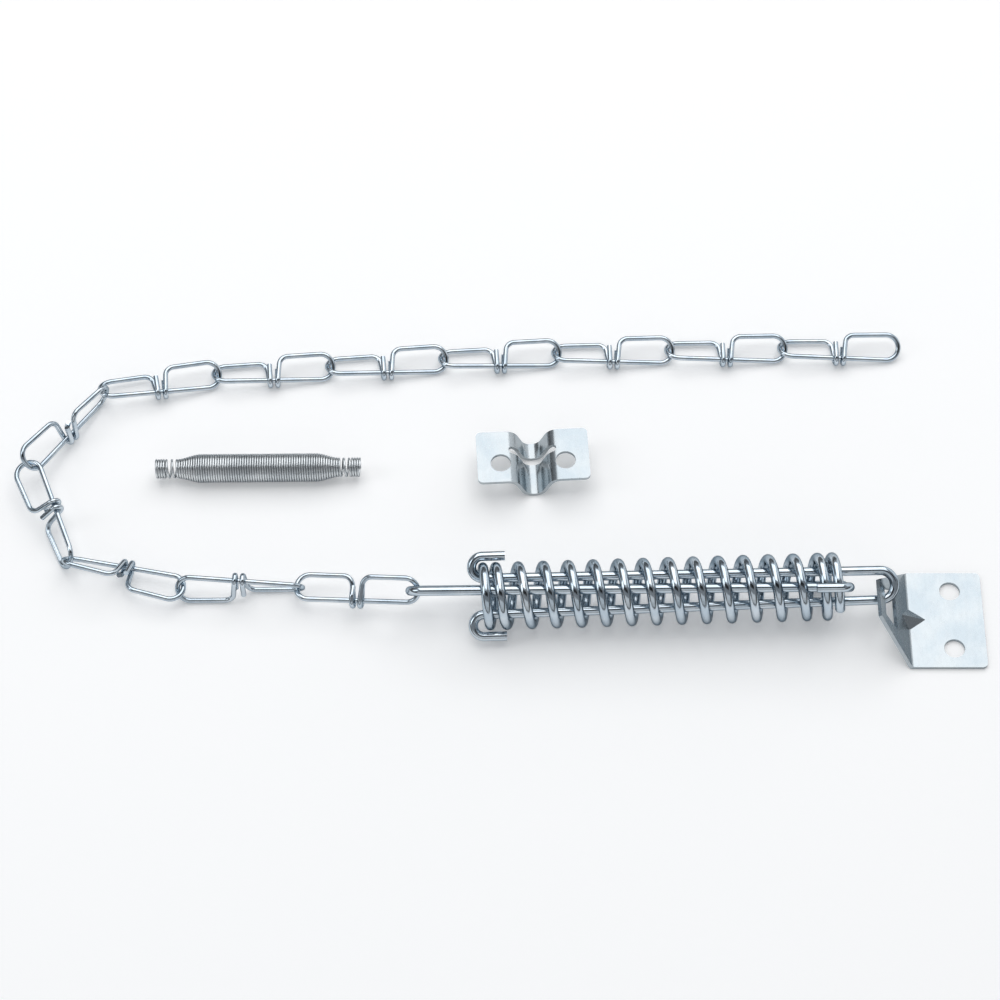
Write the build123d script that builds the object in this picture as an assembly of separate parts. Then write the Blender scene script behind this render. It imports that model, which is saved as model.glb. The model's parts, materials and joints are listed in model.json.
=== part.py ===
from build123d import *
import math
import os

# Door chain stop, laid out on a table as it comes out of its bag.
# The frame bracket lies flat, the sprung drawbars run from its slot to the left, the chain goes on from
# them in a U, and the door bracket and the retainer spring lie loose inside that U.
# Millimetres and degrees. Origin: midway between the frame bracket's two screw holes, on its wall side.
# +X points from the chain to the frame bracket, +Y away from the viewer, +Z up.

# Sheet steel brackets
PLATE_THICKNESS = 0.95
SCREW_HOLE = 5.2
BEND_INSIDE_RADIUS = 0.7
PLATE_CORNER = 1.3

# Frame bracket: a plate with two screw holes and a raised, tapered flange with a slot
FRAME_YAW = 0.0
FRAME_WIDTH = 27.0
FRAME_HOLE_SPACING = 16.4
FRAME_HOLES_TO_EDGE = 7.9
FRAME_HOLES_TO_BEND = 11.1
FLANGE_LENGTH = 14.2
FLANGE_SLOPE = 54.0
FLANGE_TIP_WIDTH = 10.4
SLOT_LONG_SIDE = 11.5
SLOT_SHORT_SIDE = 7.5
SLOT_CLEARANCE = 0.25
SLOT_SPARE_ROOM = 1.2
DART_ON_PLATE = 4.2
DART_ON_FLANGE = 3.2
DART_WIDTH = 6.0

# Compression spring
SPRING_WIRE = 2.5
SPRING_OUTSIDE = 17.0
SPRING_PITCH = 6.2
SPRING_OPEN_HALF_TURNS = 25
SPRING_CLOSED_HALF_TURNS = 2
SPRING_CLOSED_GAP = 0.5
SPRING_START_ANGLE = -40.0

# Drawbars: two hairpins of the same wire, at right angles to each other, that squeeze the spring when pulled
DRAWBAR_WIRE = 2.35
DRAWBAR_EYE_WIDTH = 7.2
HOOK_CLEARANCE = 0.28
HOOK_TIP = 5.6
FRAME_DRAWBAR_LENGTH = 102.0
CHAIN_DRAWBAR_LENGTH = 105.5
DRAWBAR_HEADING = 181.4
DRAWBAR_DROP = 0.85
DRAWBAR_ROLL = 32.0
CHAIN_DRAWBAR_TILT = 1.04
FRAME_EYE = Vector(-15.05, 4.8, 10.05)

# Chain of double-loop links, each one piece of wire
LINK_COUNT = 12
LINK_WIRE = 1.3
LINK_LENGTH = 32.6
LINK_WIDTH = 8.1
LINK_TWIST = 55.0
LINK_PLAY = 0.2
KNOT_GAP = 0.08
KNOT_SPACING = 1.9
KNOT_SHOULDER = 1.9
SHOULDER_RADIUS = 2.4
FRONT_CUT_END = 2.1
FRONT_CUT_RISE = 0.0
BACK_CUT_END = 2.6

# How each link lies, from the drawbar to the free end: compass heading, climb and roll about its own length
LINK_HEADINGS = [172.5, 180.0, 165.0, 115.0, 53.5, 11.0, 4.7, 4.6, 3.6, 1.6, 1.1, 0.6]
LINK_CLIMBS = [-9, -1.1, 2.15, 5.0, -7.3, -2.0, 0, 0.05, 0.05, 0.05, 0.05, 0.05]
LINK_ROLLS = [148.5, -85.5, 22, -40, 70, 4.5, 4.5, 4.5, 4.5, 4.5, 4.5, 4.5]

# Door bracket: a plate whose middle is pressed into a channel, with a slot across it that a chain link drops into
DOOR_LENGTH = 28.7
DOOR_WIDTH = 15.2
DOOR_HOLE_SPACING = 16.6
DOOR_HOLES_FORWARD = 1.9
CHANNEL_DEPTH = 6.5
CHANNEL_MOUTH = 9.6
CHANNEL_FLOOR = 4.0
CHANNEL_SHOULDER_RADIUS = 3.2
CHANNEL_FLOOR_RADIUS = 2.9
CATCH_SLOT_WIDTH = 2.1
CATCH_SLOT_LENGTH = 12.2
CATCH_SLOT_BACK = 2.1
DOOR_YAW = 3.2
DOOR_PLACE = Vector(-104.5, 44.75, 0)

# Retainer spring: a small barrel-shaped spring with narrow, partly open ends
RETAINER_WIRE = 0.58
RETAINER_BODY = 7.4
RETAINER_NECK = 5.0
RETAINER_GAP = 0.45
RETAINER_OPEN_GAP = 0.8
RETAINER_BODY_HALF_TURNS = 64
RETAINER_TAPER_HALF_TURNS = 9
RETAINER_OPEN_HALF_TURNS = 4
RETAINER_END_HALF_TURNS = 5
RETAINER_PLACE = Vector(-174.9, 43.2, 0)
RETAINER_YAW = 0.6
TABLE_GAP = 0.02


def direction(heading, climb=0.0):
    """Unit vector at a compass heading in the table's plane, raised by a climb angle."""
    h, c = math.radians(heading), math.radians(climb)
    return Vector(math.cos(h) * math.cos(c), math.sin(h) * math.cos(c), math.sin(c))


def lying(origin, heading, climb, roll):
    """Plane whose X runs along a wire part, turned about it by the roll angle."""
    along = direction(heading, climb)
    side = direction(heading + 90)
    up = along.cross(side)
    r = math.radians(roll)
    return Plane(origin=origin, x_dir=along, z_dir=up * math.cos(r) - side * math.sin(r))


def round_wire(path, diameter):
    """Round bar of one diameter along a path."""
    start = Plane(origin=path @ 0, z_dir=path % 0)
    return sweep(start * Circle(diameter / 2), path=path)


def bent_strip(points, radius, width):
    """Sheet of the plate thickness that follows mid-plane points in XZ, with rounded bends."""
    path = FilletPolyline(*points, radius=radius)
    start = Plane(origin=path @ 0, x_dir=(0, 1, 0), z_dir=path % 0)
    return sweep(start * Rectangle(width, PLATE_THICKNESS), path=path)


def prism(plane, points, depth):
    """Closed outline on a plane, pushed both ways."""
    return extrude(plane * make_face(Polyline(*points, close=True)), depth, both=True)


# Wound springs

def biarc(start, start_direction, end, end_direction):
    """Two tangent arcs that join one point and direction to another."""
    v = end - start
    both = start_direction + end_direction
    a = 2 * (1 - start_direction.dot(end_direction))
    b = 2 * v.dot(both)
    c = -v.dot(v)
    d = (-b + math.sqrt(b * b - 4 * a * c)) / (2 * a)
    first = start + start_direction * d
    last = end - end_direction * d
    middle = (first + last) / 2
    return [
        TangentArc(start, middle, tangent=start_direction),
        TangentArc(middle, end, tangent=last - first),
    ]


def coil_stations(advances, radii, start_angle):
    """Points and directions of a coil along X at each half turn."""
    stations = []
    along = 0.0
    for i, radius in enumerate(radii):
        angle = math.radians(start_angle + 180 * i)
        outward = Vector(0, math.cos(angle), math.sin(angle))
        round_about = Vector(0, -math.sin(angle), math.cos(angle))
        before = advances[max(i - 1, 0)]
        after = advances[min(i, len(advances) - 1)]
        growth = (radii[min(i + 1, len(radii) - 1)] - radii[max(i - 1, 0)]) / 2
        step = Vector((before + after) / 2, 0, 0) + outward * growth + round_about * (math.pi * radius)
        stations.append((Vector(along, 0, 0) + outward * radius, step.normalized()))
        if i < len(advances):
            along += advances[i]
    return stations


def coil_path(advances, radii, start_angle, tail):
    """Unbroken coil of quarter-turn arcs with a straight tail at each end."""
    stations = coil_stations(advances, radii, start_angle)
    first_point, first_direction = stations[0]
    last_point, last_direction = stations[-1]
    edges = [Line(first_point - first_direction * tail, first_point)]
    for (p, t), (q, u) in zip(stations, stations[1:]):
        edges += biarc(p, t, q, u)
    edges.append(Line(last_point, last_point + last_direction * tail))
    return edges


GAP_SAMPLES = 12
EDGES_IN_A_TURN = 4
# A neighbouring turn lies between two thirds of a turn and one and a half turns further along the wire
NEIGHBOUR_FROM = 2 / 3
NEIGHBOUR_TO = 3 / 2


def least_gap(edges, diameter):
    """Smallest clear gap between turns, measured on points along the coil."""
    points = []
    for edge in edges:
        points += [edge @ (k / GAP_SAMPLES) for k in range(GAP_SAMPLES)]
    turn = EDGES_IN_A_TURN * GAP_SAMPLES
    best = None
    for i, p in enumerate(points):
        for q in points[i + round(turn * NEIGHBOUR_FROM):i + round(turn * NEIGHBOUR_TO)]:
            gap = (p - q).length - diameter
            if best is None or gap < best:
                best = gap
    return best


def wound(name, advances, radii, start_angle, wire):
    """Spring wire as one solid along X from its first turn; prints its least gap to itself."""
    edges = coil_path(advances, radii, start_angle, wire)
    print(name, "turns", len(advances) / 2, "least gap to itself", round(least_gap(edges, wire), 3), "mm")
    return round_wire(Wire([e.edge() for e in edges]), wire)


# Compression spring sizes that follow from the wire
spring_radius = (SPRING_OUTSIDE - SPRING_WIRE) / 2
closed_advance = (SPRING_WIRE + SPRING_CLOSED_GAP) / 2
open_advance = SPRING_PITCH / 2
turning_advance = (closed_advance + open_advance) / 2
spring_end = [closed_advance] * SPRING_CLOSED_HALF_TURNS
spring_advances = (
    spring_end + [turning_advance] + [open_advance] * SPRING_OPEN_HALF_TURNS + [turning_advance] + spring_end
)


def spring_height_at(turned):
    """How far along the spring its wire is after some degrees from its start."""
    halves = turned / 180
    whole = int(halves)
    return sum(spring_advances[:whole]) + spring_advances[min(whole, len(spring_advances) - 1)] * (halves - whole)


# Drawbars
hook_radius = (SPRING_WIRE + DRAWBAR_WIRE) / 2 + HOOK_CLEARANCE
leg_offset = spring_radius - hook_radius
eye_radius = DRAWBAR_EYE_WIDTH / 2
STRAIGHT_SHARE = 0.97


def hairpin_path(length):
    """Drawbar's middle line, its eye at the origin and its legs along X, up to the hooks' centres at a length."""
    outer = length + hook_radius
    tip = length - HOOK_TIP
    above = [
        (tip, leg_offset + 2 * hook_radius, 0),
        (outer, leg_offset + 2 * hook_radius, 0),
        (outer, leg_offset, 0),
        (0, eye_radius, 0),
    ]
    below = [(x, -y, z) for x, y, z in reversed(above)]
    bends = [hook_radius * STRAIGHT_SHARE] * 2 + [eye_radius * STRAIGHT_SHARE] * 2 + [hook_radius * STRAIGHT_SHARE] * 2
    return FilletPolyline(*above, *below, radius=bends)


drawbar_direction = direction(DRAWBAR_HEADING, -DRAWBAR_DROP)
frame_drawbar_plane = lying(FRAME_EYE, DRAWBAR_HEADING, -DRAWBAR_DROP, 180 - DRAWBAR_ROLL)
start_to_front_hook = -SPRING_START_ANGLE
spring_to_hook = spring_height_at(start_to_front_hook)
end_angle = SPRING_START_ANGLE + 180 * len(spring_advances)
last_front_pass = end_angle - (end_angle - 90) % 180
spring_length = spring_height_at(last_front_pass - SPRING_START_ANGLE)
spring_far_end = FRAME_EYE + drawbar_direction * (FRAME_DRAWBAR_LENGTH + spring_to_hook)
chain_hook_centre = spring_far_end - drawbar_direction * spring_length
back_to_bracket = -drawbar_direction
far_side = frame_drawbar_plane.y_dir
# The chain's drawbar lies a little askew in the spring, its eye towards the far side.
tilt = math.radians(CHAIN_DRAWBAR_TILT)
chain_drawbar_direction = drawbar_direction * math.cos(tilt) + far_side * math.sin(tilt)
chain_eye = chain_hook_centre + chain_drawbar_direction * CHAIN_DRAWBAR_LENGTH
spring_plane = Plane(origin=spring_far_end, x_dir=back_to_bracket, z_dir=back_to_bracket.cross(far_side))
chain_drawbar_plane = Plane(
    origin=chain_eye,
    x_dir=-chain_drawbar_direction,
    z_dir=far_side * math.cos(tilt) - drawbar_direction * math.sin(tilt),
)


# Chain link, along X, its back loop rolled one way and its front loop the other
link_radius = (LINK_WIDTH - LINK_WIRE) / 2
link_reach = (LINK_LENGTH - LINK_WIRE) / 2
wrap_radius = LINK_WIRE + KNOT_GAP


def loop_side(roll):
    """Unit vector across a loop that is rolled about X."""
    r = math.radians(roll)
    return Vector(0, math.cos(r), math.sin(r))


# Parts of the full half circle that the bends keep, so that a short straight stays between two bends
LINK_BEND_SHARE = 0.955
FIRST_WRAP_SHARE = 0.873


def link_path():
    """Middle line of one link: cut end, wrap, leg, front bend, through wire, back bend, leg, wrap and cut end."""
    front = loop_side(LINK_TWIST / 2)
    back = loop_side(-LINK_TWIST / 2)
    front_near = Vector(link_reach, 0, 0) - front * link_radius
    back_near = Vector(-link_reach, 0, 0) - back * link_radius

    def through_wire(x):
        share = (x - back_near.X) / (front_near.X - back_near.X)
        return back_near + (front_near - back_near) * share

    right = through_wire(KNOT_SPACING / 2)
    left = through_wire(-KNOT_SPACING / 2)
    far_up = Vector(0, wrap_radius, wrap_radius)
    far_down = Vector(0, wrap_radius, -wrap_radius)
    points = [
        right + Vector(KNOT_GAP, wrap_radius + FRONT_CUT_END, FRONT_CUT_RISE),
        right + far_down,
        right - far_up,
        right - far_down,
        Vector(KNOT_SHOULDER, 0, 0) + front * link_radius,
        Vector(link_reach, 0, 0) + front * link_radius,
        front_near,
        back_near,
        Vector(-link_reach, 0, 0) + back * link_radius,
        Vector(-KNOT_SHOULDER, 0, 0) + back * link_radius,
        left - far_up,
        left - far_down,
        left + far_up + Vector(0, BACK_CUT_END, 0),
    ]
    wrap = wrap_radius * STRAIGHT_SHARE
    bend = link_radius * LINK_BEND_SHARE
    radii = [wrap * FIRST_WRAP_SHARE, wrap, wrap, SHOULDER_RADIUS, bend, bend, bend, bend, SHOULDER_RADIUS, wrap, wrap]
    return FilletPolyline(*points, radius=radii)


def link_plane(i, eye_centre, eye_along, eye_across, eye_size, eye_wire):
    """Where link i lies, hooked in the eye or loop before it; also, for its hinge, the two touching points and axes."""
    along = direction(LINK_HEADINGS[i], LINK_CLIMBS[i])
    lie = lying((0, 0, 0), LINK_HEADINGS[i], LINK_CLIMBS[i], LINK_ROLLS[i])
    back = lie.from_local_coords(loop_side(-LINK_TWIST / 2))
    pull = (eye_along + along).normalized()
    a = math.atan2(pull.dot(eye_across), pull.dot(eye_along))
    b = math.atan2(-pull.dot(back), pull.dot(along))
    touch = eye_centre + (eye_along * math.cos(a) + eye_across * math.sin(a)) * eye_size
    axis = eye_across * math.cos(a) - eye_along * math.sin(a)
    own_touch = back * math.sin(b) - along * math.cos(b)
    own_axis = back * math.cos(b) + along * math.sin(b)
    spacing = (eye_wire + LINK_WIRE) / 2 + LINK_PLAY
    bend_centre = touch - pull * spacing - own_touch * link_radius
    origin = bend_centre + along * (link_reach - link_radius)
    plane = lying(origin, LINK_HEADINGS[i], LINK_CLIMBS[i], LINK_ROLLS[i])
    return plane, touch, axis, touch - pull * spacing, own_axis


def chain_layout():
    """Planes and pivots of all links, from the drawbar's eye to the free end."""
    rows = []
    centre = chain_eye - chain_drawbar_direction * eye_radius
    eye = (centre, chain_drawbar_direction, chain_drawbar_plane.y_dir, eye_radius, DRAWBAR_WIRE)
    for i in range(LINK_COUNT):
        row = link_plane(i, *eye)
        plane = row[0]
        front = plane.to_local_coords(plane.origin) + loop_side(LINK_TWIST / 2)
        across_front = plane.from_local_coords(front) - plane.origin
        centre = plane.origin + plane.x_dir * (link_reach - link_radius)
        eye = (centre, plane.x_dir, across_front, link_radius, LINK_WIRE)
        rows.append(row)
    return rows


# Frame bracket
slope = math.radians(FLANGE_SLOPE)
half_sheet = PLATE_THICKNESS / 2
frame_plane = Plane(origin=(0, 0, 0), x_dir=direction(FRAME_YAW), z_dir=(0, 0, 1))
bend_point = Vector(-FRAME_HOLES_TO_BEND, 0, half_sheet)
flange_plane = Plane(
    origin=bend_point,
    x_dir=(-math.cos(slope), 0, math.sin(slope)),
    z_dir=(math.sin(slope), 0, math.cos(slope)),
)


def slot_centre():
    """Distance up the flange at which the drawbar's eye passes through it."""
    to_local = frame_plane.to_local_coords
    eye_middle = to_local(FRAME_EYE + drawbar_direction * eye_radius)
    outward = to_local(FRAME_EYE) - eye_middle
    near = frame_drawbar_plane.y_dir * eye_radius
    if near.Y > 0:
        near = near * -1
    near = to_local(near)
    normal = flange_plane.z_dir
    a, b = normal.dot(outward), normal.dot(near)
    c = normal.dot(bend_point - eye_middle)
    angle = math.atan2(b, a) + math.acos(c / math.hypot(a, b))
    crossing = eye_middle + outward * math.cos(angle) + near * math.sin(angle)
    return flange_plane.to_local_coords(crossing).X


def frame_bracket():
    flange_end = bend_point + flange_plane.x_dir * FLANGE_LENGTH
    start = (FRAME_HOLES_TO_EDGE, 0, half_sheet)
    body = bent_strip([start, bend_point, flange_end], BEND_INSIDE_RADIUS + half_sheet, FRAME_WIDTH)
    # Both sides of the flange taper from the bend to its free edge.
    half, tip = FRAME_WIDTH / 2, FLANGE_TIP_WIDTH / 2
    beyond = FRAME_WIDTH
    beside = half - (half - tip) * beyond / FLANGE_LENGTH
    for side in (1, -1):
        waste = [(0, side * half), (beyond, side * beside), (beyond, side * beyond), (0, side * beyond)]
        body -= prism(flange_plane, waste, PLATE_THICKNESS)
    # Slot for the drawbar's eye, as wide as the wire needs where it slants through the sheet.
    width = DRAWBAR_WIRE / math.sin(slope) + PLATE_THICKNESS / math.tan(slope) + 2 * SLOT_CLEARANCE
    low = slot_centre() - width / 2 - SLOT_SPARE_ROOM
    high = slot_centre() + width / 2
    slot = [
        (low, -SLOT_LONG_SIDE / 2),
        (low, SLOT_LONG_SIDE / 2),
        (high, SLOT_SHORT_SIDE / 2),
        (high, -SLOT_SHORT_SIDE / 2),
    ]
    body -= prism(flange_plane, slot, PLATE_THICKNESS)
    for side in (1, -1):
        body -= Pos(0, side * FRAME_HOLE_SPACING / 2, 0) * Cylinder(SCREW_HOLE / 2, 4 * PLATE_THICKNESS)
    # Round the plate's two free corners.
    corners = body.edges().filter_by(Axis.Z).group_by(Axis.X)[-1]
    body = fillet(corners, PLATE_CORNER)
    # Stiffening dart pressed across the bend.
    body += dart(half_sheet)
    body -= dart(-half_sheet)
    return frame_plane.location * body


def dart(lift):
    """Three-sided dart that fills the corner of the bend, lifted from the sheet's middle plane."""
    rise = flange_plane.z_dir * lift
    base = bend_point + (Vector(0, 0, 1) + flange_plane.z_dir) * (lift / (1 + math.cos(slope)))
    on_plate = base + Vector(DART_ON_PLATE, 0, 0)
    on_flange = base + flange_plane.x_dir * DART_ON_FLANGE
    half = Vector(0, DART_WIDTH / 2, 0)
    a, b = base + half, base - half
    outlines = [(a, on_plate, on_flange), (b, on_plate, on_flange), (a, on_plate, b), (a, on_flange, b)]
    faces = [make_face(Polyline(*outline, close=True)).face() for outline in outlines]
    return Solid(Shell(faces))


# Door bracket
def door_bracket():
    top = CHANNEL_DEPTH + half_sheet
    low = half_sheet
    half = DOOR_LENGTH / 2
    right = [(half, 0, top), (CHANNEL_MOUTH / 2, 0, top), (CHANNEL_FLOOR / 2, 0, low)]
    left = [(-x, y, z) for x, y, z in reversed(right)]
    radii = [CHANNEL_SHOULDER_RADIUS, CHANNEL_FLOOR_RADIUS, CHANNEL_FLOOR_RADIUS, CHANNEL_SHOULDER_RADIUS]
    body = bent_strip(right + left, radii, DOOR_WIDTH)
    for side in (1, -1):
        hole = Cylinder(SCREW_HOLE / 2, 4 * PLATE_THICKNESS)
        body -= Pos(side * DOOR_HOLE_SPACING / 2, -DOOR_HOLES_FORWARD, top) * hole
    slot = SlotOverall(CATCH_SLOT_LENGTH, CATCH_SLOT_WIDTH)
    body -= Pos(0, CATCH_SLOT_BACK, 0) * extrude(slot, 2 * top)
    corners = body.edges().filter_by(Axis.Z).filter_by_position(Axis.X, half - 0.01, half + 0.01)
    corners += body.edges().filter_by(Axis.Z).filter_by_position(Axis.X, -half - 0.01, -half + 0.01)
    body = fillet(corners, PLATE_CORNER)
    return Plane(origin=DOOR_PLACE, x_dir=direction(DOOR_YAW), z_dir=(0, 0, 1)).location * body


# Retainer spring
def retainer_spring():
    neck = (RETAINER_NECK - RETAINER_WIRE) / 2
    body = (RETAINER_BODY - RETAINER_WIRE) / 2
    close = (RETAINER_WIRE + RETAINER_GAP) / 2
    wide = (RETAINER_WIRE + RETAINER_OPEN_GAP) / 2
    taper = [neck + (body - neck) * (k + 1) / RETAINER_TAPER_HALF_TURNS for k in range(RETAINER_TAPER_HALF_TURNS)]
    end_advances = [close] * RETAINER_END_HALF_TURNS + [wide] * RETAINER_OPEN_HALF_TURNS
    middle = [close] * (RETAINER_BODY_HALF_TURNS + 2 * RETAINER_TAPER_HALF_TURNS)
    advances = end_advances + middle + end_advances[::-1]
    end_radii = [neck] * (len(end_advances) + 1)
    radii = end_radii + taper + [body] * (RETAINER_BODY_HALF_TURNS - 1) + taper[::-1] + end_radii
    coil = wound("retainer_spring", advances, radii, 90, RETAINER_WIRE)
    place = RETAINER_PLACE + Vector(0, 0, RETAINER_BODY / 2 + TABLE_GAP)
    along = direction(RETAINER_YAW)
    plane = Plane(origin=place - along * (sum(advances) / 2), x_dir=along, z_dir=(0, 0, 1))
    return plane.location * coil


def main():
    frame_drawbar = round_wire(hairpin_path(FRAME_DRAWBAR_LENGTH), DRAWBAR_WIRE)
    chain_drawbar = round_wire(hairpin_path(CHAIN_DRAWBAR_LENGTH), DRAWBAR_WIRE)
    link = round_wire(link_path(), LINK_WIRE)
    parts = {
        "frame_bracket": frame_bracket(),
        "drawbar_frame_side": frame_drawbar_plane.location * frame_drawbar,
        "drawbar_chain_side": chain_drawbar_plane.location * chain_drawbar,
        "door_bracket": door_bracket(),
        "retainer_spring": retainer_spring(),
    }
    radii = [spring_radius] * (len(spring_advances) + 1)
    coil = wound("compression_spring", spring_advances, radii, SPRING_START_ANGLE, SPRING_WIRE)
    parts["compression_spring"] = spring_plane.location * coil
    for i, row in enumerate(chain_layout()):
        parts[f"chain_link_{i + 1:02d}"] = row[0].location * link
    os.makedirs("parts", exist_ok=True)
    for name, shape in parts.items():
        solid = shape.solid()
        box = solid.bounding_box()
        print(name, "volume", round(solid.volume, 2), "lowest", round(box.min.Z, 2), "valid", solid.is_valid)
        export_step(solid, f"parts/{name}.step")


main()
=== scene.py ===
import json
import math

import bmesh
import bpy
from bpy.props import FloatProperty, FloatVectorProperty, IntProperty, PointerProperty
from mathutils import Matrix, Vector

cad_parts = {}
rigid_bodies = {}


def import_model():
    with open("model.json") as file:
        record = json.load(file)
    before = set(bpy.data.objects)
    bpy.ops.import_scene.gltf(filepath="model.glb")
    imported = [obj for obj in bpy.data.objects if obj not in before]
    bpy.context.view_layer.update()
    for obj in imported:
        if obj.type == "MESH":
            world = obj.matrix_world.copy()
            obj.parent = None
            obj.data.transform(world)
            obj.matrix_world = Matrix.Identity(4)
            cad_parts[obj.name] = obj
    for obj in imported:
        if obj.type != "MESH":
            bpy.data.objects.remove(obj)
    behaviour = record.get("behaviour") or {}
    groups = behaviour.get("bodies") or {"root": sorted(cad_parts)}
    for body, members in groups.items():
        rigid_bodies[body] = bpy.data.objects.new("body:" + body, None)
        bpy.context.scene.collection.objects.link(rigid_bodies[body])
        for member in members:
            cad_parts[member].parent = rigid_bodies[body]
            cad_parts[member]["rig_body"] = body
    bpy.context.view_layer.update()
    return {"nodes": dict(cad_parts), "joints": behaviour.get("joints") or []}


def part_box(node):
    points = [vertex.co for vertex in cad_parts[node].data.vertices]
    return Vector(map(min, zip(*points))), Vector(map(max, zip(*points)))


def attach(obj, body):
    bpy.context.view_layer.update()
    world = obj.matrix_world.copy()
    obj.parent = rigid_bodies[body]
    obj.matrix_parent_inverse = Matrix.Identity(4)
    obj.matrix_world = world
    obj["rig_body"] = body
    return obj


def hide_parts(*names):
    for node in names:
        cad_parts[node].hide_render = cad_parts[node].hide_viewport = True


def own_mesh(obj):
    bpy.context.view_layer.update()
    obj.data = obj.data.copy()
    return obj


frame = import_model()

bl_info = {
    "name": "Door chain stop",
    "version": (1, 0, 0),
    "blender": (4, 5, 0),
    "location": "View3D > Sidebar > Door Chain",
    "description": "Finishes a door chain stop: zinc-plated brackets, drawbars, chain links and springs",
    "category": "Object",
}

NODES = frame["nodes"]
STROKE = next(joint for joint in frame["joints"] if joint["name"] == "spring_stroke")
LINK_NODES = sorted(name for name in NODES if name.startswith("chain_link_"))

# Edges of a new piece that turn by more than this stay sharp
HARD_EDGE = math.radians(40)
# Turns over which a coil's step grows from its closed end to its open part
EASING_TURNS = 0.5
# Ring to ring distance under which a coil's sections are joined
SEAM = 1e-6
FINE_SEAM = 1e-7
# Depth of the drawing and rolling marks in the plating
MARK_DEPTH = 0.00005
# The table lies this far below the lowest piece
TABLE_GAP = 0.00002

# Soft lamps: name, place from the middle of the table, size, power and colour
LAMPS = (
    ("back_softbox", (0.0, 0.51, 1.09), (1.3, 1.5), 10.4, (1.0, 1.0, 1.0)),
    ("front_softbox", (0.0, -1.1, 0.5), (2.0, 0.75), 2.1, (1.0, 1.0, 1.0)),
    ("right_softbox", (0.91, 0.71, 0.47), (1.3, 0.9), 2.8, (0.96, 0.98, 1.0)),
    ("left_softbox", (-0.95, -0.1, 0.7), (0.4, 0.7), 1.6, (0.95, 0.98, 1.0)),
)

# Dark card above the front edge of the table, which draws the dark line along the wires
FRONT_CARD_PLACE = (0.0, -0.42, 1.0)
FRONT_CARD_SIZE = (1.68, 0.294)
FRONT_CARD_GREY = 0.02

# Grey card round the table, which draws the darker line along the wires' far sides
HORIZON_RADIUS = 1.5
HORIZON_HEIGHT = 0.6
HORIZON_SIDES = 48
HORIZON_GREY = 0.2


# ---------------------------------------------------------------- sizes and colours

class SpringSizes(bpy.types.PropertyGroup):
    """Compression spring between the two drawbars."""

    wire: FloatProperty(name="Wire", description="Diameter of the spring wire", default=0.0025, unit="LENGTH")
    outside: FloatProperty(name="Outside", description="Outside diameter of the coil", default=0.017, unit="LENGTH")
    pitch: FloatProperty(name="Pitch", description="Step of the open turns", default=0.0062, unit="LENGTH")
    closed_pitch: FloatProperty(
        name="Closed pitch", description="Step of the closed end turns", default=0.003, unit="LENGTH"
    )
    closed_turns: FloatProperty(name="Closed turns", description="Closed turns at each end", default=1.0)
    open_turns: FloatProperty(name="Open turns", description="Turns at the full pitch", default=12.5)
    start: FloatProperty(
        name="Start", description="Angle of the wire's first end about the coil", default=math.radians(-40),
        subtype="ANGLE",
    )
    roll: FloatProperty(
        name="Roll", description="Turn of the drawbars' hooks about the coil", default=math.radians(32),
        subtype="ANGLE",
    )
    squeezed_share: FloatProperty(
        name="Squeezed share", description="Share of its length that the spring keeps at full stroke", default=0.66,
        subtype="FACTOR",
    )
    end_chamfer: FloatProperty(
        name="End chamfer", description="Rounding of the cut wire ends", default=0.00018, unit="LENGTH"
    )
    wire_sides: IntProperty(name="Wire sides", description="Faces round the wire", default=20, min=3)
    turn_steps: IntProperty(name="Steps in a turn", description="Sections in one turn", default=56, min=8)


class RetainerSizes(bpy.types.PropertyGroup):
    """Small barrel-shaped retainer spring."""

    wire: FloatProperty(name="Wire", description="Diameter of the wire", default=0.0006, unit="LENGTH")
    body: FloatProperty(name="Body", description="Outside diameter of the barrel", default=0.0074, unit="LENGTH")
    neck: FloatProperty(name="Neck", description="Outside diameter of the ends", default=0.005, unit="LENGTH")
    pitch: FloatProperty(name="Pitch", description="Step of the close turns", default=0.00063, unit="LENGTH")
    open_pitch: FloatProperty(
        name="Open pitch", description="Step of the few drawn-out turns", default=0.00138, unit="LENGTH"
    )
    end_turns: IntProperty(name="End turns", description="Close turns at each end", default=4, min=1)
    open_turns: IntProperty(name="Open turns", description="Drawn-out turns beside each end", default=2, min=0)
    taper: FloatProperty(name="Taper", description="Length of each taper", default=0.0062, unit="LENGTH")
    inset: FloatProperty(
        name="Inset", description="Free room between the coil and the packed spring's ends", default=0.0006,
        unit="LENGTH",
    )
    heading: FloatProperty(
        name="Heading", description="Direction of the spring on the table", default=math.radians(0.6), subtype="ANGLE"
    )
    end_share: FloatProperty(
        name="End rounding", description="Rounding of the cut ends as a share of the wire", default=0.08,
        subtype="FACTOR",
    )
    wire_sides: IntProperty(name="Wire sides", description="Faces round the wire", default=10, min=3)
    turn_steps: IntProperty(name="Steps in a turn", description="Sections in one turn", default=32, min=8)


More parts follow.
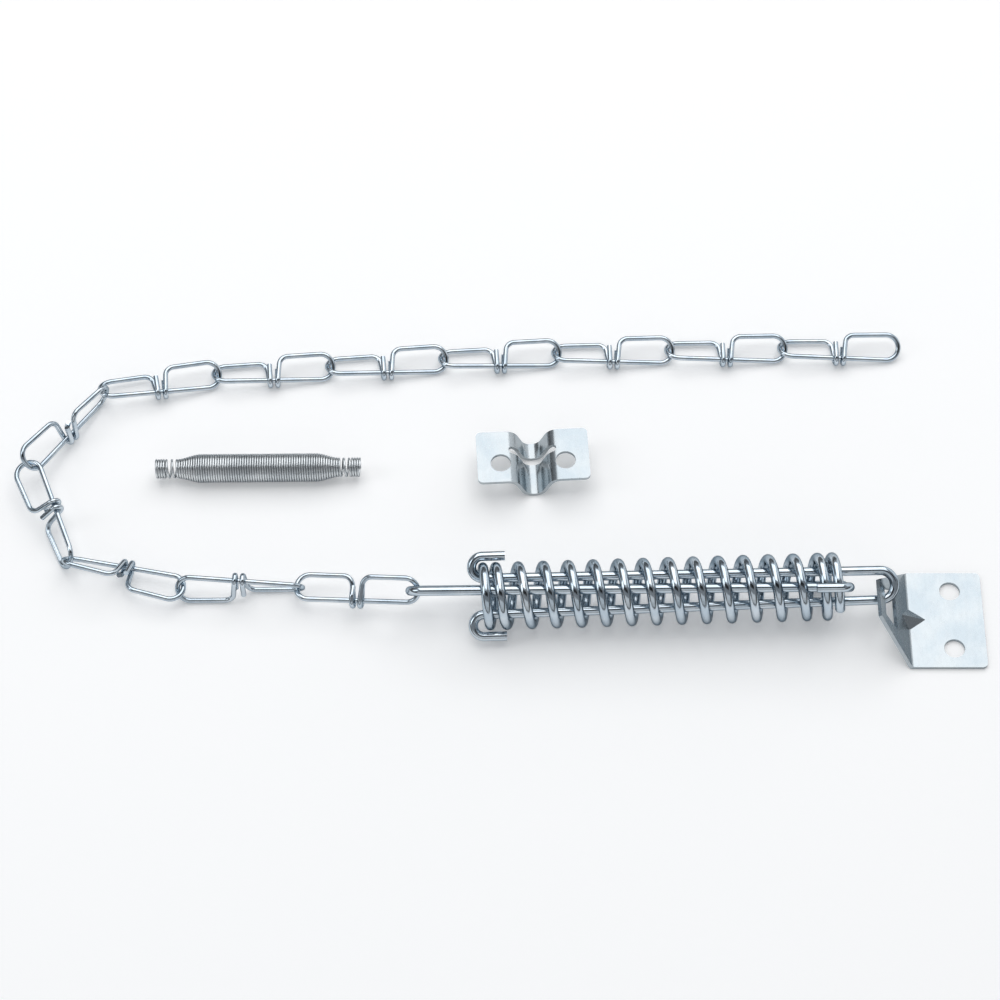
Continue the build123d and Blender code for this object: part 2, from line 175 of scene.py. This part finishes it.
class ZincFinish(bpy.types.PropertyGroup):
    """Colours of the zinc plating."""

    wire_tint: FloatVectorProperty(
        name="Wire", description="Pale side of the wire plating", subtype="COLOR", size=3, default=(0.62, 0.68, 0.73)
    )
    wire_shade: FloatVectorProperty(
        name="Wire shade", description="Bluer patches on the wire", subtype="COLOR", size=3,
        default=(0.48, 0.56, 0.63),
    )
    sheet_tint: FloatVectorProperty(
        name="Sheet", description="Pale side of the sheet plating", subtype="COLOR", size=3,
        default=(0.45, 0.485, 0.505),
    )
    sheet_shade: FloatVectorProperty(
        name="Sheet shade", description="Bluer patches on the sheet", subtype="COLOR", size=3,
        default=(0.39, 0.44, 0.475),
    )
    fine_tint: FloatVectorProperty(
        name="Fine wire", description="Plain steel of the retainer spring", subtype="COLOR", size=3,
        default=(0.74, 0.765, 0.78),
    )
    fine_shade: FloatVectorProperty(
        name="Fine wire shade", description="Duller patches of the retainer spring", subtype="COLOR", size=3,
        default=(0.60, 0.63, 0.65),
    )


class StageSettings(bpy.types.PropertyGroup):
    """Floor, lamps and camera."""

    target: FloatVectorProperty(
        name="Look at", description="Point of the table in the middle of the picture", size=3, unit="LENGTH",
        default=(-0.1129, 0.03585, 0.0),
    )
    elevation: FloatProperty(
        name="Elevation", description="Height of the camera above the table", default=math.radians(58),
        subtype="ANGLE",
    )
    distance: FloatProperty(name="Distance", description="Camera to table", default=0.769, unit="LENGTH")
    lens: FloatProperty(name="Lens", description="Focal length on a 36 mm sensor", default=108.0)
    floor_colour: FloatVectorProperty(
        name="Floor", description="Colour of the table", subtype="COLOR", size=3, default=(0.93, 0.93, 0.93)
    )
    floor_size: FloatProperty(name="Floor size", description="Side of the table", default=6.0, unit="LENGTH")
    floor_glow: FloatProperty(
        name="Floor glow", description="Added white where the camera or metal sees the table", default=0.16, min=0
    )
    room_colour: FloatVectorProperty(
        name="Room", description="Colour of the room's light", subtype="COLOR", size=3, default=(0.80, 0.83, 0.87)
    )
    room_light: FloatProperty(name="Room light", description="Strength of the room's light", default=0.32, min=0)


class ChainStopSettings(bpy.types.PropertyGroup):
    """Everything that a user may change."""

    spring: PointerProperty(type=SpringSizes, name="Spring", description="Compression spring")
    retainer: PointerProperty(type=RetainerSizes, name="Retainer", description="Retainer spring")
    zinc: PointerProperty(type=ZincFinish, name="Zinc", description="Plating colours")
    stage: PointerProperty(type=StageSettings, name="Stage", description="Floor, lamps and camera")


def settings():
    return bpy.context.scene.door_chain_stop


# ---------------------------------------------------------------- node helpers

def add_node(tree, kind, x, y, inputs=None, **values):
    """New shader node at a place in the editor, with its settings and unlinked inputs."""
    node = tree.nodes.new(kind)
    node.location = (x, y)
    for name, value in values.items():
        setattr(node, name, value)
    for name, value in (inputs or {}).items():
        node.inputs[name].default_value = value
    return node


def new_group(name, inputs, outputs):
    """Empty shader node group with named sockets."""
    tree = bpy.data.node_groups.new(name, "ShaderNodeTree")
    for label, kind, default in inputs:
        socket = tree.interface.new_socket(name=label, in_out="INPUT", socket_type=kind)
        if default is not None:
            socket.default_value = default
    for label, kind in outputs:
        tree.interface.new_socket(name=label, in_out="OUTPUT", socket_type=kind)
    entry = add_node(tree, "NodeGroupInput", -900, 0)
    leave = add_node(tree, "NodeGroupOutput", 700, 0)
    return tree, entry, leave


def zinc_clouding_group():
    """Soft bluish clouds and small crystal spots of the plating."""
    found = bpy.data.node_groups.get("zinc_clouding")
    if found:
        return found
    tree, entry, leave = new_group(
        "zinc_clouding",
        [
            ("Place", "NodeSocketVector", None),
            ("Tint", "NodeSocketColor", (0.85, 0.88, 0.91, 1)),
            ("Shade", "NodeSocketColor", (0.7, 0.76, 0.82, 1)),
            ("Cloud Scale", "NodeSocketFloat", 120.0),
            ("Spot Scale", "NodeSocketFloat", 900.0),
            ("Spots", "NodeSocketFloat", 0.25),
        ],
        [("Colour", "NodeSocketColor"), ("Clouds", "NodeSocketFloat")],
    )
    clouds = add_node(tree, "ShaderNodeTexNoise", -650, 200, {"Detail": 4.0, "Roughness": 0.55})
    soften = add_node(
        tree, "ShaderNodeMapRange", -420, 200, {"From Min": 0.32, "From Max": 0.68}, interpolation_type="SMOOTHSTEP"
    )
    spots = add_node(tree, "ShaderNodeTexVoronoi", -650, -120, {"Randomness": 1.0}, feature="F1")
    spot_edge = add_node(tree, "ShaderNodeMapRange", -420, -120, {"From Min": 0.1, "From Max": 0.7})
    weigh = add_node(tree, "ShaderNodeMath", -200, -120, operation="MULTIPLY")
    both = add_node(tree, "ShaderNodeMath", 0, 60, operation="ADD", use_clamp=True)
    colour = add_node(tree, "ShaderNodeMix", 250, 120, data_type="RGBA")
    join = tree.links.new
    join(entry.outputs["Place"], clouds.inputs["Vector"])
    join(entry.outputs["Cloud Scale"], clouds.inputs["Scale"])
    join(clouds.outputs["Fac"], soften.inputs["Value"])
    join(entry.outputs["Place"], spots.inputs["Vector"])
    join(entry.outputs["Spot Scale"], spots.inputs["Scale"])
    join(spots.outputs["Distance"], spot_edge.inputs["Value"])
    join(spot_edge.outputs["Result"], weigh.inputs[0])
    join(entry.outputs["Spots"], weigh.inputs[1])
    join(soften.outputs["Result"], both.inputs[0])
    join(weigh.outputs["Value"], both.inputs[1])
    join(both.outputs["Value"], colour.inputs["Factor"])
    join(entry.outputs["Tint"], colour.inputs["A"])
    join(entry.outputs["Shade"], colour.inputs["B"])
    join(colour.outputs["Result"], leave.inputs["Colour"])
    join(both.outputs["Value"], leave.inputs["Clouds"])
    return tree


def tool_marks_group():
    """Fine marks left by drawing and rolling: a height for the bump and a roughness that follows it."""
    found = bpy.data.node_groups.get("tool_marks")
    if found:
        return found
    tree, entry, leave = new_group(
        "tool_marks",
        [
            ("Place", "NodeSocketVector", None),
            ("Stretch", "NodeSocketVector", (1.0, 1.0, 1.0)),
            ("Scale", "NodeSocketFloat", 2500.0),
            ("Smooth", "NodeSocketFloat", 0.12),
            ("Rough", "NodeSocketFloat", 0.3),
        ],
        [("Roughness", "NodeSocketFloat"), ("Height", "NodeSocketFloat")],
    )
    stretch = add_node(tree, "ShaderNodeVectorMath", -680, 60, operation="MULTIPLY")
    marks = add_node(tree, "ShaderNodeTexNoise", -460, 60, {"Detail": 3.0, "Roughness": 0.6})
    spread = add_node(tree, "ShaderNodeMapRange", -200, 140, {"From Min": 0.3, "From Max": 0.7})
    join = tree.links.new
    join(entry.outputs["Place"], stretch.inputs[0])
    join(entry.outputs["Stretch"], stretch.inputs[1])
    join(stretch.outputs["Vector"], marks.inputs["Vector"])
    join(entry.outputs["Scale"], marks.inputs["Scale"])
    join(marks.outputs["Fac"], spread.inputs["Value"])
    join(entry.outputs["Smooth"], spread.inputs["To Min"])
    join(entry.outputs["Rough"], spread.inputs["To Max"])
    join(spread.outputs["Result"], leave.inputs["Roughness"])
    join(marks.outputs["Fac"], leave.inputs["Height"])
    return tree


# Reflectance at grazing angles: low on wire, where it draws a thin dark outline, and higher on flat sheet
WIRE_EDGE = (0.24, 0.28, 0.31, 1)
SHEET_EDGE = (0.70, 0.73, 0.75, 1)
FINE_EDGE = (0.22, 0.25, 0.27, 1)


def zinc_material(
    name, tint, shade, cloud_scale, spot_scale, spot_share, mark_scale, smooth, rough, bump,
    mark_stretch=(1.0, 1.0, 1.0), edge=WIRE_EDGE,
):
    """Zinc-plated steel, with clouds and small spots in its colour, and tool marks in its roughness and relief."""
    material = bpy.data.materials.get(name)
    if material:
        return material
    material = bpy.data.materials.new(name)
    material.use_nodes = True
    tree = material.node_tree
    tree.nodes.clear()
    place = add_node(tree, "ShaderNodeTexCoord", -900, 0)
    clouding = add_node(tree, "ShaderNodeGroup", -600, 200, node_tree=zinc_clouding_group())
    clouding.inputs["Tint"].default_value = (*tint, 1)
    clouding.inputs["Shade"].default_value = (*shade, 1)
    clouding.inputs["Cloud Scale"].default_value = cloud_scale
    clouding.inputs["Spot Scale"].default_value = spot_scale
    clouding.inputs["Spots"].default_value = spot_share
    grain = add_node(tree, "ShaderNodeGroup", -600, -150, node_tree=tool_marks_group())
    grain.inputs["Scale"].default_value = mark_scale
    grain.inputs["Stretch"].default_value = mark_stretch
    grain.inputs["Smooth"].default_value = smooth
    grain.inputs["Rough"].default_value = rough
    relief = add_node(tree, "ShaderNodeBump", -300, -250, {"Strength": bump, "Distance": MARK_DEPTH})
    metal = add_node(tree, "ShaderNodeBsdfPrincipled", 0, 100, {"Metallic": 1.0, "Specular Tint": edge})
    leave = add_node(tree, "ShaderNodeOutputMaterial", 320, 100)
    join = tree.links.new
    join(place.outputs["Object"], clouding.inputs["Place"])
    join(place.outputs["Object"], grain.inputs["Place"])
    join(clouding.outputs["Colour"], metal.inputs["Base Color"])
    join(grain.outputs["Roughness"], metal.inputs["Roughness"])
    join(grain.outputs["Height"], relief.inputs["Height"])
    join(relief.outputs["Normal"], metal.inputs["Normal"])
    join(metal.outputs["BSDF"], leave.inputs["Surface"])
    return material


def link_wire_zinc():
    zinc = settings().zinc
    return zinc_material(
        "link_wire_zinc", zinc.wire_tint, zinc.wire_shade, cloud_scale=220.0, spot_scale=1400.0, spot_share=0.15,
        mark_scale=1800.0, smooth=0.08, rough=0.17, bump=0.12,
    )


def drawbar_wire_zinc():
    zinc = settings().zinc
    return zinc_material(
        "drawbar_wire_zinc", zinc.wire_tint, zinc.wire_shade, cloud_scale=140.0, spot_scale=1100.0, spot_share=0.12,
        mark_scale=1500.0, smooth=0.09, rough=0.18, bump=0.12, mark_stretch=(0.08, 1.0, 1.0),
    )


def spring_wire_zinc():
    zinc = settings().zinc
    return zinc_material(
        "spring_wire_zinc", zinc.wire_tint, zinc.wire_shade, cloud_scale=160.0, spot_scale=1200.0, spot_share=0.15,
        mark_scale=1500.0, smooth=0.09, rough=0.2, bump=0.12,
    )


def fine_wire_steel():
    zinc = settings().zinc
    return zinc_material(
        "fine_wire_steel", zinc.fine_tint, zinc.fine_shade, cloud_scale=160.0, spot_scale=1200.0, spot_share=0.1,
        mark_scale=900.0, smooth=0.26, rough=0.36, bump=0.02, edge=FINE_EDGE,
    )


def sheet_zinc():
    zinc = settings().zinc
    return zinc_material(
        "sheet_zinc", zinc.sheet_tint, zinc.sheet_shade, cloud_scale=110.0, spot_scale=1300.0, spot_share=0.08,
        mark_scale=900.0, smooth=0.2, rough=0.3, bump=0.035, mark_stretch=(1.0, 0.4, 1.0), edge=SHEET_EDGE,
    )


# ---------------------------------------------------------------- mesh helpers

def new_piece(name, bm, material):
    """Finished bmesh as an object at the origin, smooth except at its hard edges."""
    mesh = bpy.data.meshes.new(name)
    bm.to_mesh(mesh)
    bm.free()
    mesh.shade_smooth()
    mesh.set_sharp_from_angle(angle=HARD_EDGE)
    mesh.materials.append(material)
    piece = bpy.data.objects.new(name, mesh)
    bpy.context.scene.collection.objects.link(piece)
    return piece


def each_once(items):
    """The items without repeats, in the order they come in."""
    return list(dict.fromkeys(items))


def wire_disc(bm, radius, centre, sides):
    """Round cross-section of a wire in the XZ plane, as its vertices and edges."""
    made = bmesh.ops.create_circle(
        bm, cap_ends=False, radius=radius, segments=sides,
        matrix=Matrix.Translation(centre) @ Matrix.Rotation(math.radians(90), 4, "X"),
    )
    verts = made["verts"]
    return verts + each_once(edge for vert in verts for edge in vert.link_edges)


def coil_turns(bm, ring, turns, pitch, steps):
    """Winds an open ring of wire on along Z by some turns; returns the ring at its new end."""
    count = max(2, round(turns * steps))
    made = bmesh.ops.spin(
        bm, geom=ring, cent=(0, 0, 0), axis=(0, 0, 1), dvec=(0, 0, turns * pitch / count),
        angle=turns * math.tau, steps=count, use_merge=False, use_normal_flip=False, use_duplicate=False,
    )
    return made["geom_last"]


def close_wire_ends(bm, chamfer):
    """Caps both cut ends and rounds their rims."""
    open_edges = [edge for edge in bm.edges if edge.is_boundary]
    caps = bmesh.ops.holes_fill(bm, edges=open_edges, sides=0)["faces"]
    bmesh.ops.recalc_face_normals(bm, faces=bm.faces)
    rims = each_once(edge for face in caps for edge in face.edges)
    bmesh.ops.bevel(
        bm, geom=rims, offset=chamfer, offset_type="OFFSET", affect="EDGES", segments=2, profile=0.5, material=-1
    )


def stand_in(piece, node):
    """The piece rides on its node's body and stands for it."""
    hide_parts(node)
    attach(piece, NODES[node]["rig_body"])
    return piece


def finish_nodes(names, material):
    """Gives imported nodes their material."""
    for name in names:
        mesh = NODES[name].data
        mesh.materials.clear()
        mesh.materials.append(material)


def spring_frame():
    """Matrix from a coil wound along Z to the compression spring's place between the drawbars."""
    sizes = settings().spring
    outward = Vector(STROKE["axis"]).normalized()
    run = -outward
    level_side = Vector((-outward.y, outward.x, 0)).normalized()
    up = outward.cross(level_side)
    turned = math.pi - sizes.roll
    hook_normal = up * math.cos(turned) - level_side * math.sin(turned)
    far_side = hook_normal.cross(outward)
    third = run.cross(far_side)
    low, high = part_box("compression_spring")
    middle = (low + high) / 2
    length = sum(turns * pitch for turns, pitch in spring_runs())
    start = middle - run * (length / 2)
    # The coil's axes: Z along the run, X towards the far side
    basis = Matrix((far_side, third, run)).transposed().to_4x4()
    basis.translation = start
    return basis


def spring_runs():
    """Turns and pitch of each run of the compression spring, from end to end."""
    sizes = settings().spring
    closed = (sizes.closed_turns, sizes.closed_pitch)
    easing = (EASING_TURNS, (sizes.pitch + sizes.closed_pitch) / 2)
    return closed, easing, (sizes.open_turns, sizes.pitch), easing, closed


def retainer_runs(length):
    """Turns and pitch of each run of the retainer spring, with as many close turns as its length leaves."""
    sizes = settings().retainer
    end = (sizes.end_turns, sizes.pitch)
    drawn_out = (sizes.open_turns, sizes.open_pitch)
    ends = 2 * sizes.end_turns * sizes.pitch + 2 * sizes.open_turns * sizes.open_pitch
    return end, drawn_out, ((length - ends) / sizes.pitch, sizes.pitch), drawn_out, end


# ---------------------------------------------------------------- pieces

class DOORCHAIN_OT_compression_spring(bpy.types.Operator):
    """Winds the compression spring with its closed end turns"""

    bl_idname = "door_chain.compression_spring"
    bl_label = "Compression spring"

    def execute(self, context):
        sizes = settings().spring
        radius = (sizes.outside - sizes.wire) / 2
        bm = bmesh.new()
        ring = wire_disc(bm, sizes.wire / 2, (radius, 0, 0), sizes.wire_sides)
        for turns, pitch in spring_runs():
            ring = coil_turns(bm, ring, turns, pitch, sizes.turn_steps)
        bmesh.ops.remove_doubles(bm, verts=bm.verts, dist=SEAM)
        close_wire_ends(bm, sizes.end_chamfer)
        coil_place = spring_frame()
        turned = coil_place @ Matrix.Rotation(sizes.start, 4, "Z")
        bmesh.ops.transform(bm, matrix=turned, verts=bm.verts)
        piece = new_piece("compression_spring_coil", bm, spring_wire_zinc())
        stand_in(piece, "compression_spring")
        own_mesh(piece)
        return {"FINISHED"}


class DOORCHAIN_OT_retainer_spring(bpy.types.Operator):
    """Winds the small barrel-shaped retainer spring"""

    bl_idname = "door_chain.retainer_spring"
    bl_label = "Retainer spring"

    def execute(self, context):
        sizes = settings().retainer
        low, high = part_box("retainer_spring")
        length = (high.x - low.x) - sizes.inset - sizes.wire
        radius = (sizes.body - sizes.wire) / 2
        drop = (sizes.body - sizes.neck) / 2
        bm = bmesh.new()
        ring = wire_disc(bm, sizes.wire / 2, (radius, 0, 0), sizes.wire_sides)
        for turns, pitch in retainer_runs(length):
            ring = coil_turns(bm, ring, turns, pitch, sizes.turn_steps)
        bmesh.ops.remove_doubles(bm, verts=bm.verts, dist=FINE_SEAM)
        close_wire_ends(bm, sizes.wire * sizes.end_share)
        # Draws the ends in to the narrow necks, with a smooth taper between neck and barrel
        neck_length = sizes.end_turns * sizes.pitch + sizes.open_turns * sizes.open_pitch
        for vert in bm.verts:
            from_end = min(vert.co.z, length - vert.co.z)
            share = max(0.0, min(1.0, (from_end - neck_length) / sizes.taper))
            inward = drop * (1 - share * share * (3 - 2 * share))
            across = Vector((vert.co.x, vert.co.y, 0))
            vert.co -= across.normalized() * inward
        middle = (low + high) / 2
        middle.z = low.z + sizes.body / 2
        run = Vector((math.cos(sizes.heading), math.sin(sizes.heading), 0))
        side = Vector((-run.y, run.x, 0))
        place = Matrix((side, run.cross(side), run)).transposed().to_4x4()
        place.translation = middle - run * (length / 2)
        bmesh.ops.transform(bm, matrix=place, verts=bm.verts)
        bmesh.ops.recalc_face_normals(bm, faces=bm.faces)
        piece = new_piece("retainer_spring_coil", bm, fine_wire_steel())
        stand_in(piece, "retainer_spring")
        return {"FINISHED"}


class DOORCHAIN_OT_chain_links(bpy.types.Operator):
    """Finishes the double-loop chain links"""

    bl_idname = "door_chain.chain_links"
    bl_label = "Chain links"

    def execute(self, context):
        finish_nodes(LINK_NODES, link_wire_zinc())
        return {"FINISHED"}


class DOORCHAIN_OT_drawbars(bpy.types.Operator):
    """Finishes the two drawbars"""

    bl_idname = "door_chain.drawbars"
    bl_label = "Drawbars"

    def execute(self, context):
        finish_nodes(["drawbar_frame_side", "drawbar_chain_side"], drawbar_wire_zinc())
        return {"FINISHED"}


class DOORCHAIN_OT_brackets(bpy.types.Operator):
    """Finishes the frame bracket and the door bracket"""

    bl_idname = "door_chain.brackets"
    bl_label = "Brackets"

    def execute(self, context):
        finish_nodes(["frame_bracket", "door_bracket"], sheet_zinc())
        return {"FINISHED"}


# ---------------------------------------------------------------- stage

def stage_sheet(name, size, place, material):
    """Flat square of the stage."""
    bm = bmesh.new()
    bmesh.ops.create_grid(bm, x_segments=1, y_segments=1, size=size / 2, matrix=place)
    mesh = bpy.data.meshes.new(name)
    bm.to_mesh(mesh)
    bm.free()
    mesh.materials.append(material)
    sheet = bpy.data.objects.new(name, mesh)
    bpy.context.scene.collection.objects.link(sheet)
    return sheet


def floor_material(colour, glow_strength):
    """Matt white table; a little glow on the rays that see it lifts it to the photograph's white."""
    material = bpy.data.materials.new("table_white")
    material.use_nodes = True
    tree = material.node_tree
    tree.nodes.clear()
    matt = add_node(tree, "ShaderNodeBsdfDiffuse", -200, 100, {"Color": (*colour, 1)})
    rays = add_node(tree, "ShaderNodeLightPath", -800, -100)
    seen = add_node(tree, "ShaderNodeMath", -600, -60, operation="MAXIMUM")
    seen_through = add_node(tree, "ShaderNodeMath", -420, -100, operation="MAXIMUM")
    glow_level = add_node(tree, "ShaderNodeMath", -240, -100, operation="MULTIPLY")
    glow_level.inputs[1].default_value = glow_strength
    glow = add_node(tree, "ShaderNodeEmission", -60, -100, {"Color": (1, 1, 1, 1)})
    both = add_node(tree, "ShaderNodeAddShader", 140, 60)
    leave = add_node(tree, "ShaderNodeOutputMaterial", 340, 60)
    join = tree.links.new
    join(rays.outputs["Is Camera Ray"], seen.inputs[0])
    join(rays.outputs["Is Glossy Ray"], seen.inputs[1])
    join(seen.outputs["Value"], seen_through.inputs[0])
    join(rays.outputs["Is Transmission Ray"], seen_through.inputs[1])
    join(seen_through.outputs["Value"], glow_level.inputs[0])
    join(glow_level.outputs["Value"], glow.inputs["Strength"])
    join(matt.outputs["BSDF"], both.inputs[0])
    join(glow.outputs["Emission"], both.inputs[1])
    join(both.outputs["Shader"], leave.inputs["Surface"])
    return material


def card_material(name, grey):
    """Matt grey card."""
    material = bpy.data.materials.new(name)
    material.use_nodes = True
    tree = material.node_tree
    tree.nodes.clear()
    matt = add_node(tree, "ShaderNodeBsdfDiffuse", 0, 0, {"Color": (grey, grey, grey, 1)})
    leave = add_node(tree, "ShaderNodeOutputMaterial", 200, 0)
    tree.links.new(matt.outputs["BSDF"], leave.inputs["Surface"])
    return material


def only_in_reflections(card):
    """A photographer's card: metal shows it, and the camera, the light and the shadows don't meet it."""
    card.visible_camera = False
    card.visible_diffuse = False
    card.visible_shadow = False
    card.visible_transmission = False
    card.visible_volume_scatter = False


def aimed(place, target):
    """Matrix of a lamp, card or camera at a place, looking at a target."""
    look = (Vector(target) - Vector(place)).to_track_quat("-Z", "Y")
    return Matrix.Translation(place) @ look.to_matrix().to_4x4()


def soft_lamp(name, place, target, size, power, colour):
    """Soft rectangular lamp that looks at a target, and that the camera doesn't see."""
    lamp = bpy.data.lights.new(name, "AREA")
    lamp.shape = "RECTANGLE"
    lamp.size, lamp.size_y = size
    lamp.energy = power
    lamp.color = colour
    holder = bpy.data.objects.new(name, lamp)
    bpy.context.scene.collection.objects.link(holder)
    holder.matrix_world = aimed(place, target)
    holder.visible_camera = False
    return holder


def front_card(target):
    """Dark card above the front edge of the table."""
    place = aimed(target + Vector(FRONT_CARD_PLACE), target) @ Matrix.Diagonal((*FRONT_CARD_SIZE, 1.0, 1.0))
    card = stage_sheet("front_card", 1.0, place, card_material("dark_card", FRONT_CARD_GREY))
    only_in_reflections(card)


def horizon_card(target):
    """Low grey wall round the table."""
    bm = bmesh.new()
    bmesh.ops.create_cone(
        bm, cap_ends=False, segments=HORIZON_SIDES, radius1=HORIZON_RADIUS, radius2=HORIZON_RADIUS,
        depth=HORIZON_HEIGHT, matrix=Matrix.Translation((target.x, target.y, HORIZON_HEIGHT / 2)),
    )
    mesh = bpy.data.meshes.new("horizon_card")
    bm.to_mesh(mesh)
    bm.free()
    mesh.materials.append(card_material("grey_card", HORIZON_GREY))
    card = bpy.data.objects.new("horizon_card", mesh)
    bpy.context.scene.collection.objects.link(card)
    only_in_reflections(card)


def photograph_camera(stage, target):
    """Camera at the photograph's angle, looking at a target."""
    back = Vector((0, -math.cos(stage.elevation), math.sin(stage.elevation)))
    camera = bpy.data.cameras.new("camera")
    camera.lens = stage.lens
    camera.sensor_width = 36.0
    camera.clip_start = 0.01
    camera.clip_end = 20.0
    holder = bpy.data.objects.new("camera", camera)
    bpy.context.scene.collection.objects.link(holder)
    tilt = Matrix.Rotation(math.radians(90) - stage.elevation, 4, "X")
    holder.matrix_world = Matrix.Translation(target + back * stage.distance) @ tilt
    return holder


class DOORCHAIN_OT_stage(bpy.types.Operator):
    """Lays the white table and sets lamps, dark cards and camera"""

    bl_idname = "door_chain.stage"
    bl_label = "Stage"

    def execute(self, context):
        stage = settings().stage
        target = Vector(stage.target)
        stage_sheet(
            "table", stage.floor_size, Matrix.Translation((target.x, target.y, -TABLE_GAP)),
            floor_material(stage.floor_colour, stage.floor_glow),
        )
        world = bpy.data.worlds.new("studio")
        world.use_nodes = True
        light = world.node_tree.nodes["Background"]
        light.inputs["Color"].default_value = (*stage.room_colour, 1)
        light.inputs["Strength"].default_value = stage.room_light
        context.scene.world = world
        for name, place, size, power, colour in LAMPS:
            soft_lamp(name, target + Vector(place), target, size, power, colour)
        front_card(target)
        horizon_card(target)
        context.scene.camera = photograph_camera(stage, target)
        context.scene.view_settings.view_transform = "Standard"
        return {"FINISHED"}


class DOORCHAIN_PT_panel(bpy.types.Panel):
    """Buttons for each group of pieces."""

    bl_idname = "DOORCHAIN_PT_panel"
    bl_label = "Door chain stop"
    bl_space_type = "VIEW_3D"
    bl_region_type = "UI"
    bl_category = "Door Chain"

    def draw(self, context):
        for operator in OPERATORS:
            self.layout.operator(operator.bl_idname)


OPERATORS = (
    DOORCHAIN_OT_compression_spring,
    DOORCHAIN_OT_retainer_spring,
    DOORCHAIN_OT_chain_links,
    DOORCHAIN_OT_drawbars,
    DOORCHAIN_OT_brackets,
    DOORCHAIN_OT_stage,
)
CLASSES = (
    SpringSizes, RetainerSizes, ZincFinish, StageSettings, ChainStopSettings, *OPERATORS, DOORCHAIN_PT_panel,
)


def register():
    for cls in CLASSES:
        bpy.utils.register_class(cls)
    bpy.types.Scene.door_chain_stop = PointerProperty(type=ChainStopSettings)


def unregister():
    del bpy.types.Scene.door_chain_stop
    for cls in reversed(CLASSES):
        bpy.utils.unregister_class(cls)


def main():
    register()
    bpy.ops.door_chain.compression_spring()
    bpy.ops.door_chain.retainer_spring()
    bpy.ops.door_chain.chain_links()
    bpy.ops.door_chain.drawbars()
    bpy.ops.door_chain.brackets()
    bpy.ops.door_chain.stage()


if __name__ == "__main__":
    main()
